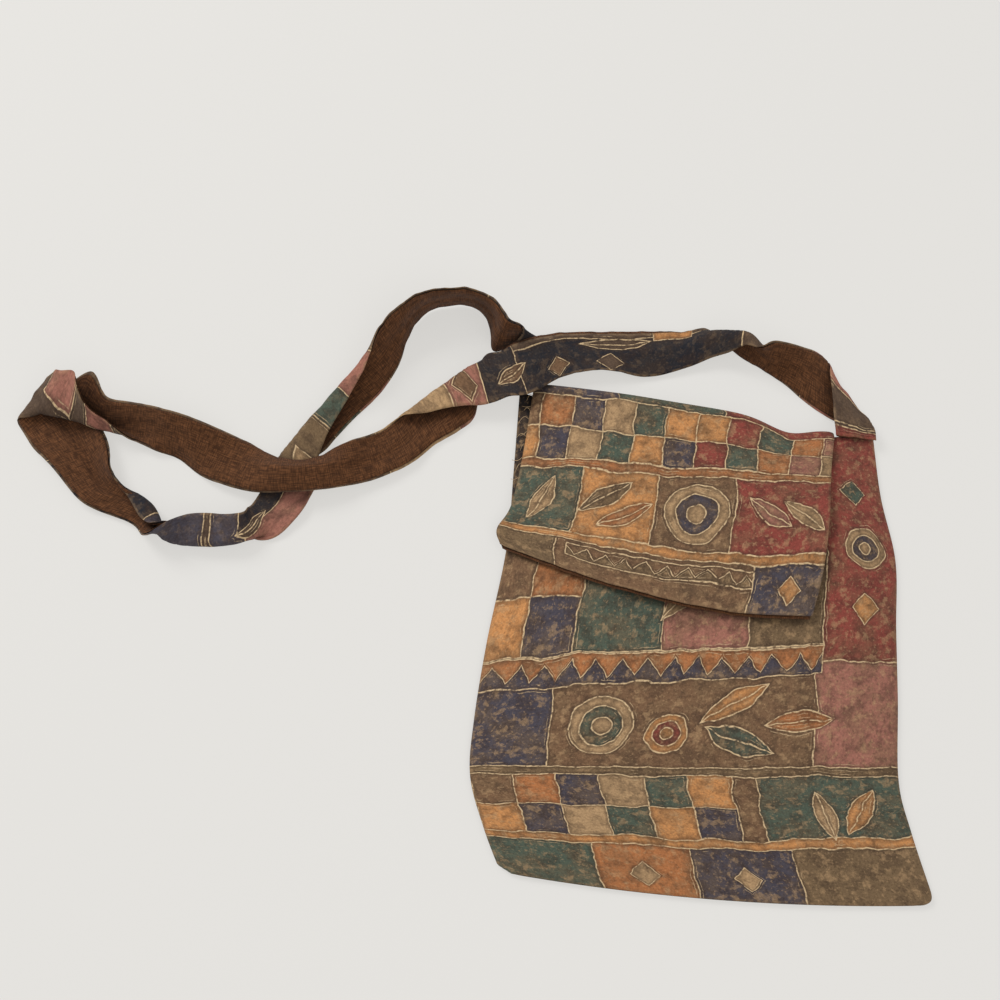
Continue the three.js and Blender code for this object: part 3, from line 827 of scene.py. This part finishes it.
# Sponged patches from large to fine; those without a strength take the light of their cloth
PATCH_COLUMNS = ("size", "seed", "level", "softness", "strength", "ink")
PATCHES = (
    (22, 11, 0.52, 0.09, None, INKS["olive"]),
    (11, 13, 0.53, 0.07, 0.42, SHADE),
    (7, 15, 0.57, 0.045, None, INKS["tan"]),
    (3, 17, 0.57, 0.05, 0.3, SHADE),
    (2.2, 19, 0.6, 0.05, None, INKS["tan"]),
)
PATCH_KIND = {"detail": 8, "roughness": 0.64}

# Resist lines, their faint second line, the dye pooled beside them, wear and grain
LINE = {"span": (0.2, 0.52), "strength": 0.9}
ECHO = {"away": 1.9, "span": (0.08, 0.3), "strength": 0.6}
ECHO_PATCH = {"size": 26, "seed": 25, "level": 0.55, "softness": 0.025}
POOL = {"span": (0.3, 3.2), "strength": 0.5}
WEAR = {"size": 3, "seed": 21, "span": (0.3, 0.55)}
RUB = {"reach": (0.2, 2.4), "size": 5, "seed": 33, "span": (0.4, 0.6), "strength": 0.35}
GRAIN = {"size": 1.4, "seed": 29, "roughness": 0.75}
GRAIN_DARK = (0.32, 0.32, 0.32, 1)
GRAIN_LIGHT = (1.7, 1.7, 1.7, 1)

# Columns of each kind of motif, in the order in which Print lays the kinds; places are on the
# cut cloth, in millimetres from its lower left corner
MOTIF_COLUMNS = {
    "block": ("u", "v", "half_u", "half_v", "ink"),
    "check": ("u", "v", "half_u", "half_v", "square"),
    "zigzag": ("u", "v", "half_u", "half_v", "period", "low", "high"),
    "ring": ("u", "v", "radius", "ink", "core"),
    "leaf": ("u", "v", "half_length", "half_width", "heading", "ink"),
    "diamond": ("u", "v", "reach", "ink"),
}

FRONT_PRINT = {
    "size": (POUCH_WIDTH, POUCH_HEIGHT),
    "ground": "taupe",
    "block": (
        (26, 14, 34, 20, "green"),
        (88, 14, 28, 20, "rust"),
        (146, 14, 30, 20, "navy"),
        (216, 66, 52, 30, "green"),
        (216, 14, 40, 20, "olive"),
        (120, 37, 140, 3.2, "ochre"),
        (20, 122, 24, 27, "navy"),
        (228, 126, 30, 30, "rose"),
        (120, 93, 140, 3, "olive"),
        (78, 196, 26, 30, "green"),
        (130, 196, 26, 30, "rose"),
        (180, 196, 24, 30, "olive"),
        (8, 270, 10, 44, "slate"),
        (232, 240, 30, 84, "brick"),
    ),
    "check": ((75, 65, 75, 25, 25), (22, 196, 30, 30, 30)),
    "zigzag": ((100, 157, 102, 8, 15, "rust", "navy"),),
    "ring": (
        (74, 124, 18, "tan", "green"),
        (112, 118, 12, "ochre", "brick"),
        (229, 226, 13, "tan", "navy"),
    ),
    "leaf": (
        (150, 134, 22, 6.5, 28, "ochre"),
        (154, 112, 22, 6.5, -22, "green"),
        (188, 122, 20, 6, 4, "rust"),
        (222, 62, 22, 7, 62, "ochre"),
        (200, 58, 20, 6, 100, "tan"),
        (118, 196, 20, 6, 40, "tan"),
    ),
    "diamond": (
        (228, 188, 9, "ochre"),
        (228, 264, 9, "green"),
        (146, 14, 8, "tan"),
        (88, 14, 8, "tan"),
    ),
}

FLAP_PRINT = {
    "size": (FLAP_WIDTH, FLAP_LENGTH),
    "ground": "taupe",
    "block": (
        (16, 12, 18, 14, "olive"),
        (176, 12, 22, 14, "navy"),
        (98, 29, 110, 2.8, "ochre"),
        (18, 56, 22, 24, "green"),
        (64, 56, 24, 24, "ochre"),
        (168, 56, 32, 24, "brick"),
        (98, 83, 110, 2.8, "rust"),
        (22, 142, 34, 16, "navy"),
        (90, 142, 34, 16, "green"),
        (164, 142, 40, 16, "brick"),
    ),
    "check": ((98, 106, 110, 20, 20),),
    "zigzag": ((98, 18, 56, 5, 12, "taupe", "olive"),),
    "ring": ((113, 56, 19, "tan", "navy"),),
    "leaf": (
        (56, 62, 19, 6, 36, "olive"),
        (70, 50, 18, 6, 30, "rust"),
        (18, 57, 17, 6, 74, "tan"),
        (158, 58, 17, 6, -34, "rose"),
        (180, 56, 16, 5.5, -40, "tan"),
    ),
    "diamond": ((176, 12, 7, "ochre"),),
}

STRAP_PRINT = {
    "size": (STRAP_WIDTH, STRAP_LENGTH),
    "ground": "umber",
    "block": (
        (17, 34, 30, 24, "rose"),
        (17, 16, 30, 9, "umber"),
        (17, 0, 30, 5, "brick"),
        (22, 182, 18, 76, "slate"),
        (3, 150, 4, 12, "ochre"),
        (17, 266, 30, 14, "slate"),
        (24, 292, 30, 12, "rose"),
        (17, 330, 30, 26, "tan"),
        (3, 556, 10, 26, "rose"),
        (4, 552, 12, 6, "umber"),
        (17, 680, 30, 44, "slate"),
        (17, 748, 30, 36, "navy"),
        (17, 752, 30, 2.2, "umber"),
        (8, 800, 14, 26, "rose"),
        (26, 800, 8, 30, "slate"),
        (10, 850, 30, 24, "olive"),
        (4, 842, 9, 10, "tan"),
        (6, 886, 30, 12, "green"),
        (6, 912, 30, 14, "rose"),
        (17, 1056, 30, 40, "slate"),
    ),
    "leaf": (
        (8, 186, 22, 4, 88, "umber"),
        (18, 258, 13, 5, 70, "taupe"),
        (20, 782, 13, 4, 84, "umber"),
    ),
    "diamond": (
        (25, 190, 8, "umber"),
        (24, 224, 8, "taupe"),
        (24, 292, 8, "taupe"),
    ),
}


class Print(Cloth):
    """Mottled printed cloth: blocks of colour and simple motifs with thin resist outlines."""

    FAR = 60.0

    def __init__(self, name, ground, wobble):
        super().__init__(name)
        self.drawn_u, self.drawn_v = (
            self.math("ADD", part, self.shift(wobble, seed))
            for part, seed in zip((self.u, self.v), WOBBLE_SEEDS)
        )
        self.color = INKS[ground]
        self.edge = self.FAR

    def shift(self, wobble, seed):
        """How far the drawing is off its place, so that lines look drawn by hand."""
        return self.math("MULTIPLY_ADD", self.spots(WOBBLE_SIZE, seed), 2 * wobble, -wobble)

    def lay(self, distance, color):
        """Covers a shape, whose distance is below 0 inside it, and hides the outlines under it."""
        inside = self.math("LESS_THAN", distance, 0.0)
        self.color = self.mix(inside, self.color, color)
        hidden = self.math("MULTIPLY_ADD", inside, self.FAR, self.edge)
        self.edge = self.math("MINIMUM", hidden, self.math("ABSOLUTE", distance))

    def outline(self, distance, away):
        """Adds an outline on its own, except where away is 1."""
        shown = self.math("MULTIPLY_ADD", away, self.FAR, distance)
        self.edge = self.math("MINIMUM", self.edge, shown)

    def off(self, u, v):
        return self.math("SUBTRACT", self.drawn_u, u), self.math("SUBTRACT", self.drawn_v, v)

    def box(self, u, v, half_u, half_v):
        past_u, past_v = (
            self.math("SUBTRACT", self.math("ABSOLUTE", part), half)
            for part, half in zip(self.off(u, v), (half_u, half_v))
        )
        return self.math("MAXIMUM", past_u, past_v)

    def block(self, u, v, half_u, half_v, ink):
        self.lay(self.box(u, v, half_u, half_v), INKS[ink])

    def check(self, u, v, half_u, half_v, square):
        corner = self.off(u - half_u, v - half_v)
        cells = [self.math("DIVIDE", part, square) for part in corner]
        turns = [
            self.math("MULTIPLY", self.math("FLOOR", cell), step)
            for cell, step in zip(cells, CHECK_STEPS)
        ]
        ramp = self.node("ShaderNodeValToRGB")
        ramp.color_ramp.interpolation = "CONSTANT"
        ramp.color_ramp.elements.remove(ramp.color_ramp.elements[1])
        ramp.color_ramp.elements[0].color = INKS[CHECK_INKS[0]]
        for i, ink in enumerate(CHECK_INKS[1:], start=1):
            ramp.color_ramp.elements.new(i / len(CHECK_INKS)).color = INKS[ink]
        self.link(self.math("FRACT", self.math("ADD", *turns)), ramp.inputs["Fac"])
        distance = self.box(u, v, half_u, half_v)
        self.lay(distance, ramp.outputs["Color"])
        away = self.math("GREATER_THAN", distance, 0.0)
        for cell in cells:
            line = self.math("MULTIPLY", self.math("PINGPONG", cell, 0.5), square)
            self.outline(line, away)

    def zigzag(self, u, v, half_u, half_v, period, low, high):
        distance = self.box(u, v, half_u, half_v)
        self.lay(distance, INKS[low])
        rise = self.math("PINGPONG", self.drawn_u, period / 2)
        reach = ZIGZAG_SHARE * half_v
        line = self.math("MULTIPLY_ADD", rise, 4 * reach / period, v - reach)
        above = self.math("SUBTRACT", self.drawn_v, line)
        self.lay(self.math("MAXIMUM", distance, above), INKS[high])

    def ring(self, u, v, radius, ink, core):
        off_u, off_v = self.off(u, v)
        square = self.math("MULTIPLY_ADD", off_u, off_u, self.math("MULTIPLY", off_v, off_v))
        away = self.math("SQRT", square)
        for share, part in zip(RING_SHARES, (ink, core, ink)):
            self.lay(self.math("SUBTRACT", away, share * radius), INKS[part])

    def leaf(self, u, v, half_length, half_width, heading, ink):
        off_u, off_v = self.off(u, v)
        c, s = math.cos(math.radians(heading)), math.sin(math.radians(heading))
        forward = self.math("MULTIPLY", off_v, s / half_length)
        along = self.math("MULTIPLY_ADD", off_u, c / half_length, forward)
        aside = self.math("MULTIPLY_ADD", off_u, -s, self.math("MULTIPLY", off_v, c))
        aside = self.math("ABSOLUTE", aside)
        square = self.math("MULTIPLY", along, along)
        taper = self.math("MULTIPLY_ADD", square, half_width, -half_width)
        distance = self.math("ADD", aside, taper)
        self.lay(distance, INKS[ink])
        self.outline(aside, self.math("GREATER_THAN", distance, 0.0))

    def diamond(self, u, v, reach, ink):
        off_u, off_v = (self.math("ABSOLUTE", part) for part in self.off(u, v))
        self.lay(self.math("SUBTRACT", self.math("ADD", off_u, off_v), reach), INKS[ink])

    def patches(self, size, seed, level, softness):
        """1 inside sponged patches with ragged edges; a higher level leaves fewer of them."""
        sponge = self.spots(size, seed, **PATCH_KIND)
        return self.steps(sponge, level - softness, level + softness)

    def tinted(self, color, share, strength, ink):
        return self.mix(self.math("MULTIPLY", share, strength), color, ink)

    def beside(self, away, span):
        """1 where away is small, falling to 0 over a span."""
        return self.math("SUBTRACT", 1.0, self.steps(away, *span))

    def rubbed(self, color, width, length):
        """The colour, worn paler in patches along the edges of a cloth of the given size."""
        sides = self.math("MINIMUM", self.u, self.math("SUBTRACT", width, self.u))
        ends = self.math("MINIMUM", self.v, self.math("SUBTRACT", length, self.v))
        near = self.beside(self.math("MINIMUM", sides, ends), RUB["reach"])
        patchy = self.steps(self.spots(RUB["size"], RUB["seed"], detail=4), *RUB["span"])
        share = self.math("MULTIPLY", near, patchy)
        return self.tinted(color, share, RUB["strength"], INKS["tan"])

    def sponged(self, color, light):
        """The colour under sponged patches, the pale ones of the given strength."""
        for patch in named(PATCH_COLUMNS, PATCHES):
            strength, ink = patch.pop("strength"), patch.pop("ink")
            share = self.patches(**patch)
            color = self.tinted(color, share, light if strength is None else strength, ink)
        return color

    def lined(self, color):
        """The colour with dye pooled beside the outlines, then the worn resist lines."""
        color = self.tinted(color, self.beside(self.edge, POOL["span"]), POOL["strength"], SHADE)
        line = self.beside(self.edge, LINE["span"])
        off_echo = self.math("ABSOLUTE", self.math("SUBTRACT", self.edge, ECHO["away"]))
        echo = self.beside(off_echo, ECHO["span"])
        faint = self.math("MULTIPLY", echo, self.patches(**ECHO_PATCH))
        line = self.math("MAXIMUM", line, self.math("MULTIPLY", faint, ECHO["strength"]))
        worn = self.steps(self.spots(WEAR["size"], WEAR["seed"], detail=4), *WEAR["span"])
        share = self.math("MULTIPLY", line, worn)
        return self.tinted(color, share, LINE["strength"], RESIST)

    def grained(self, color):
        """The colour with the grain of the cloth."""
        grain = self.spots(**GRAIN)
        return self.mix(1.0, color, self.mix(grain, GRAIN_DARK, GRAIN_LIGHT), "MULTIPLY")


def printed_cloth(name, design, wobble, light):
    """Cloth with a printed design, drawn with a wobble and mottled with pale dye of some light."""
    cloth = Print(name, design["ground"], wobble)
    for kind, columns in MOTIF_COLUMNS.items():
        for motif in named(columns, design.get(kind, ())):
            getattr(cloth, kind)(**motif)
    cloth.weave(pitch=0.7, strength=0.35)
    color = cloth.grained(cloth.lined(cloth.sponged(cloth.color, light)))
    return cloth.finish(cloth.rubbed(color, *design["size"]), roughness=0.88, sheen=0.03)


# Light and floor

FLOOR_COLOR = linear(226, 224, 220)
FLOOR_GLOW = 0.75
FLOOR_FLAT = 6.0
FLOOR_REACH = 30.0
FLOOR_RISE = 8.0
FLOOR_SIDES = 64
FLOOR_RINGS = 12
LIGHT_COLUMNS = ("name", "x", "y", "z", "size", "power")
LIGHTS = (
    ("key", -1.9, 1.7, 2.0, 1.3, 66),
    ("fill", 1.0, -1.6, 2.2, 2.4, 32),
)
SKY_STRENGTH = 0.47


def add_light():
    for light in named(LIGHT_COLUMNS, LIGHTS):
        data = bpy.data.lights.new(light["name"], "AREA")
        data.size = light["size"]
        data.energy = light["power"]
        lamp = bpy.data.objects.new(light["name"], data)
        lamp.location = (light["x"], light["y"], light["z"])
        lamp.rotation_euler = (CAMERA_TARGET - lamp.location).to_track_quat("-Z", "Y").to_euler()
        bpy.context.collection.objects.link(lamp)
    world = bpy.data.worlds.new("studio")
    world.use_nodes = True
    sky = world.node_tree.nodes["Background"]
    sky.inputs["Color"].default_value = WHITE
    sky.inputs["Strength"].default_value = SKY_STRENGTH
    bpy.context.scene.world = world
    bpy.context.scene.view_settings.view_transform = "Standard"


def add_floor():
    """A flat floor that sweeps up far away, so that low views show no horizon."""
    turn = np.arange(FLOOR_SIDES) * 2 * math.pi / FLOOR_SIDES
    points, faces = [], [tuple(range(FLOOR_SIDES))]
    for ring, share in enumerate(np.linspace(0, 1, FLOOR_RINGS)):
        radius = FLOOR_FLAT + (FLOOR_REACH - FLOOR_FLAT) * share
        rise = FLOOR_RISE * share**2
        points += [(radius * math.cos(t), radius * math.sin(t), rise) for t in turn]
        near = [ring * FLOOR_SIDES + k for k in range(FLOOR_SIDES)]
        if share < 1:
            for a, b in zip(near, near[1:] + near[:1]):
                faces.append((a, a + FLOOR_SIDES, b + FLOOR_SIDES, b))
    mesh = bpy.data.meshes.new("floor")
    mesh.from_pydata(points, [], faces)
    mesh.shade_smooth()
    floor = bpy.data.objects.new("floor", mesh)
    bpy.context.collection.objects.link(floor)
    material = bpy.data.materials.new("floor")
    material.use_nodes = True
    shader = material.node_tree.nodes["Principled BSDF"]
    lit = [part * (1 - FLOOR_GLOW) for part in FLOOR_COLOR[:3]]
    shader.inputs["Base Color"].default_value = (*lit, 1)
    shader.inputs["Emission Color"].default_value = FLOOR_COLOR
    shader.inputs["Emission Strength"].default_value = FLOOR_GLOW
    shader.inputs["Roughness"].default_value = 1.0
    shader.inputs["Specular IOR Level"].default_value = 0.0
    mesh.materials.append(material)


add_light()
add_floor()

# Assembly

lining = slub_cloth("lining_cloth", LINING_DARK, LINING_LIGHT)
back_cloth = slub_cloth("back_cloth", BACK_DARK, BACK_LIGHT)
front_cloth = printed_cloth("printed_cloth_front", FRONT_PRINT, wobble=4.5, light=0.4)
flap_cloth = printed_cloth("printed_cloth_flap", FLAP_PRINT, wobble=4.5, light=0.4)
strap_cloth = printed_cloth("printed_cloth_strap", STRAP_PRINT, wobble=3.5, light=0.1)
sewing_thread = thread_cloth("sewing_thread", INKS["brick"], INKS["rose"])
frayed_thread = thread_cloth("frayed_thread", INKS["tan"], RESIST)

back = back_panel()
front = front_panel()
flap = flap_layer(
    "flap_cloth", LINING_THICKNESS + SEAM_GAP, FLAP_STACK, inset=0, hem_extra=0
)
flap_under = flap_layer(
    "flap_under", 0, LINING_THICKNESS, FLAP_LINING_INSET, FLAP_LINING_SHOWS
)
half_gap = SEAM_GAP / 2
strap = strap_layer("strap_cloth", half_gap, half_gap + STRAP_THICKNESS, inset=0, rim=0)
strap_under = strap_layer(
    "strap_under", -half_gap - STRAP_THICKNESS, -half_gap, STRAP_LINING_INSET, STRAP_RIM
)
stitches = seam_stitches()
frayed = loose_threads()

TRIM = ((stitches, sewing_thread), (frayed, frayed_thread))
for piece, material in TRIM:
    piece.data.materials.append(material)
    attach(piece, "root")

# Flat sizes and areas of the cut cloth, in metres
PANEL_FLAT, PANEL_AREA = (0.26, 0.32), 0.0697
FLAP_FLAT, FLAP_AREA, FLAP_UNDER_AREA = (0.2, 0.16), 0.0305, 0.0296
STRAP_FLAT = (0.033, 1.09)

# Piece, solid that it replaces, slot, material, flat size, area, how held, rests on, trim
DRESS = (
    (back, "back_panel", "back_cloth", back_cloth,
     PANEL_FLAT, PANEL_AREA, "laid", (), ()),
    (front, "front_panel", "printed_cloth", front_cloth,
     PANEL_FLAT, PANEL_AREA, "laid", ("back",), ()),
    (flap, "flap", "printed_cloth", flap_cloth,
     FLAP_FLAT, FLAP_AREA, "folded", ("front",), (frayed,)),
    (flap_under, "flap_lining", "lining_cloth", lining,
     FLAP_FLAT, FLAP_UNDER_AREA, "folded", ("front",), ()),
    (strap, "strap", "printed_cloth", strap_cloth,
     STRAP_FLAT, None, "folded", ("front",), (stitches,)),
    (strap_under, "strap_lining", "lining_cloth", lining,
     STRAP_FLAT, None, "folded", ("front",), ()),
)
for piece, node, slot, material, flat, area, held, rests_on, trim in DRESS:
    piece.data.materials.append(material)
    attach(piece, "root")
    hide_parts(node)
